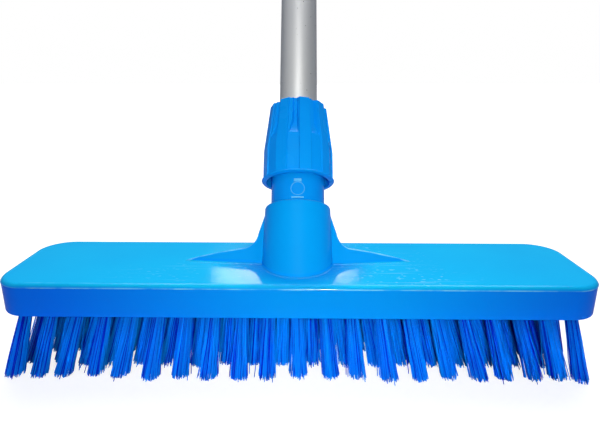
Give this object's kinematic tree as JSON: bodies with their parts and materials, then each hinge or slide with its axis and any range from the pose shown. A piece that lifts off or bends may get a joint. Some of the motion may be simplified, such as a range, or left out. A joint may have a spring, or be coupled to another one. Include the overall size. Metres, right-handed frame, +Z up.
{
  "type": "floor scrub brush",
  "caption": "Floor scrub brush: long moulded block with flared bristle tufts, a leaning socket with side wings, and a screw-in neck whose fluted nut clamps a tube handle.",
  "frame": {"origin": "on the floor, at the trimmed tips of the tufts, under the middle of the block", "axes": "+Z up from the floor, +X along the block, +Y the way the handle leans"},
  "size_m": [0.3018, 0.7093, 1.1298],
  "materials": {
    "block_plastic": "glossy moulded blue plastic with fine scratches",
    "fitting_plastic": "satin moulded blue plastic",
    "collet_plastic": "plain blue plastic",
    "cap_plastic": "satin blue plastic",
    "bristle": "stiff blue synthetic filament",
    "staple_metal": "flat drawn wire",
    "seal_rubber": "plain rubber",
    "satin_aluminium": "satin anodised tube",
    "rivet_metal": "plain rivet"
  },
  "bodies": {
    "head": {"brush_block": "block_plastic", "front_tuft_01": "bristle", "front_tuft_02": "bristle", "front_tuft_03": "bristle", "front_tuft_04": "bristle", "front_tuft_05": "bristle", "front_tuft_06": "bristle", "front_tuft_07": "bristle", "front_tuft_08": "bristle", "front_tuft_09": "bristle", "front_tuft_10": "bristle", "front_tuft_11": "bristle", "front_tuft_12": "bristle", "front_tuft_13": "bristle", "front_tuft_14": "bristle", "front_tuft_15": "bristle", "front_tuft_16": "bristle", "front_tuft_17": "bristle", "front_tuft_18": "bristle", "front_tuft_19": "bristle", "front_tuft_20": "bristle", "front_tuft_21": "bristle", "front_anchor_01": "staple_metal", "front_anchor_02": "staple_metal", "front_anchor_03": "staple_metal", "front_anchor_04": "staple_metal", "front_anchor_05": "staple_metal", "front_anchor_06": "staple_metal", "front_anchor_07": "staple_metal", "front_anchor_08": "staple_metal", "front_anchor_09": "staple_metal", "front_anchor_10": "staple_metal", "front_anchor_11": "staple_metal", "front_anchor_12": "staple_metal", "front_anchor_13": "staple_metal", "front_anchor_14": "staple_metal", "front_anchor_15": "staple_metal", "front_anchor_16": "staple_metal", "front_anchor_17": "staple_metal", "front_anchor_18": "staple_metal", "front_anchor_19": "staple_metal", "front_anchor_20": "staple_metal", "front_anchor_21": "staple_metal", "tuft_row_2": "bristle", "tuft_row_3": "bristle", "tuft_row_4": "bristle", "tuft_row_5": "bristle"},
    "seal": {"seal_washer": "seal_rubber"},
    "neck": {"neck_fitting": "fitting_plastic"},
    "collet_ring": {"collet": "collet_plastic"},
    "nut": {"clamp_nut": "fitting_plastic"},
    "tube": {"handle_tube": "satin_aluminium", "hanger_cap": "cap_plastic", "cap_rivet": "rivet_metal"}
  },
  "joints": [
    {"name": "seal_lift", "type": "slide", "parent": "head", "child": "seal", "axis": [0, 0.5299, 0.848], "range_m": [0, 0.01501]},
    {"name": "handle_unscrew", "type": "hinge", "parent": "seal", "child": "neck", "pos_m": [0, 0, 0.0538], "axis": [0, 0.5299, 0.848], "range_deg": [0, 1080]},
    {"name": "collet_lift", "type": "slide", "parent": "neck", "child": "collet_ring", "axis": [0, 0.5299, 0.848], "range_m": [0, 0.00601]},
    {"name": "nut_turn", "type": "hinge", "parent": "collet_ring", "child": "nut", "pos_m": [0, 0, 0.0538], "axis": [0, 0.5299, 0.848], "range_deg": [0, 540]},
    {"name": "tube_pull", "type": "slide", "parent": "neck", "child": "tube", "axis": [0, 0.5299, 0.848], "range_m": [0, 0.04]}
  ],
  "couplings": [
    {"joint": "seal_lift", "follows": "handle_unscrew", "m_per_rad": 0.00079577},
    {"joint": "collet_lift", "follows": "nut_turn", "m_per_rad": 0.00063662}
  ]
}
